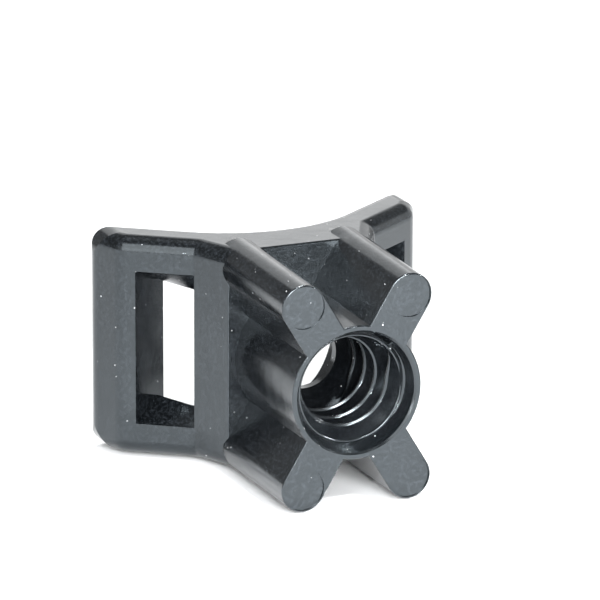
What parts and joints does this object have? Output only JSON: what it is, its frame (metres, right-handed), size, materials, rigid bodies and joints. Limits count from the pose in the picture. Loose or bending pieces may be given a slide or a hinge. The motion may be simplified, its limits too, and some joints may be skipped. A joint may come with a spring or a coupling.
{
  "type": "cable tie mount",
  "caption": "One-piece moulded saddle mount for a cable tie: a cradle with two slotted wings on a threaded tube with diagonal ribs, fixed by a stud or a screw.",
  "frame": {"origin": "where the screw axis meets the foot plane", "axes": "+Y along the screw axis from the wall to the bundle, +X along the saddle from wing to wing, +Z across the saddle, along the bundle; it rests on the two ribs that point to -Z"},
  "size_m": [0.0222, 0.0182, 0.015],
  "materials": {
    "polyamide": "black moulded polyamide, fairly glossy, with a faint mould texture"
  },
  "bodies": {
    "root": {"tie_mount_body": "polyamide"}
  },
  "joints": []
}
